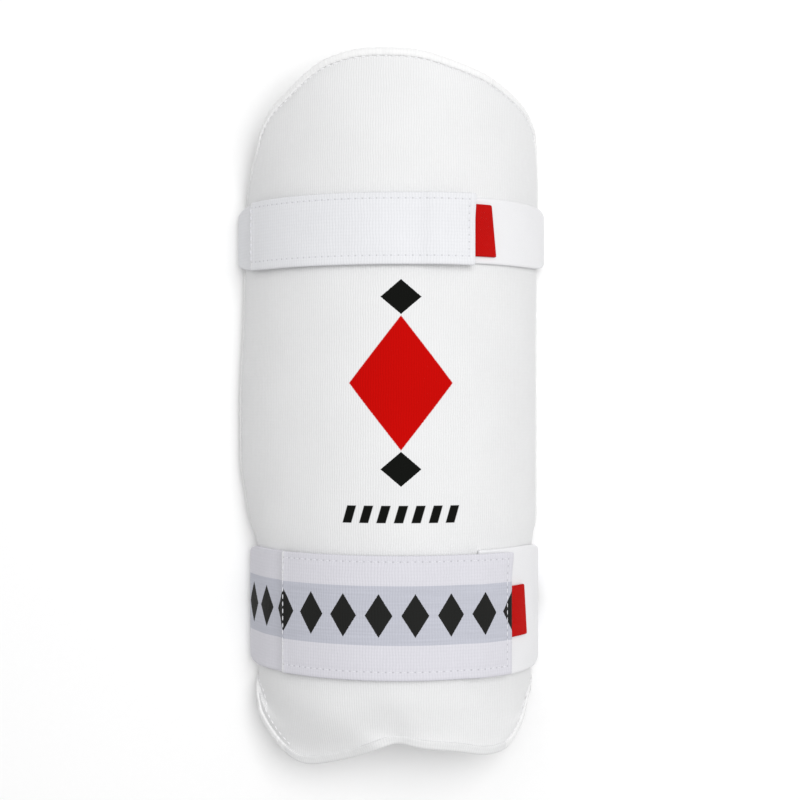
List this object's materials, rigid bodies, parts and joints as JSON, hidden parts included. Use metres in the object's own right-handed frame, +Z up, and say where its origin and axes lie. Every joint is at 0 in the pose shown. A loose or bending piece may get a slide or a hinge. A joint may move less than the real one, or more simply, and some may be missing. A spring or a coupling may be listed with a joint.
{
  "type": "cricket arm guard",
  "caption": "Padded half-pipe forearm guard with a domed top, a notched bottom edge, a bound rim and two elastic straps with hook strips and pull tabs.",
  "frame": {"origin": "middle of the footprint, on the surface that the guard lies on", "axes": "+Z up out of the padded face, +Y along the forearm to the domed end, +X to the side where the straps are sewn on"},
  "size_m": [0.1238, 0.2736, 0.0544],
  "materials": {
    "cover": "fine ribbed white knit over a foam pad",
    "binding": "rolled white edge with topstitching",
    "elastic": "white ribbed elastic webbing",
    "hook": "white hook strip",
    "ribbon": "red herringbone ribbon"
  },
  "bodies": {
    "root": {"pad_shell": "cover", "edge_binding": "binding", "upper_strap": "elastic", "lower_strap": "elastic", "upper_hook_patch": "hook", "lower_hook_patch": "hook", "upper_pull_tab": "ribbon", "lower_pull_tab": "ribbon"}
  },
  "joints": []
}
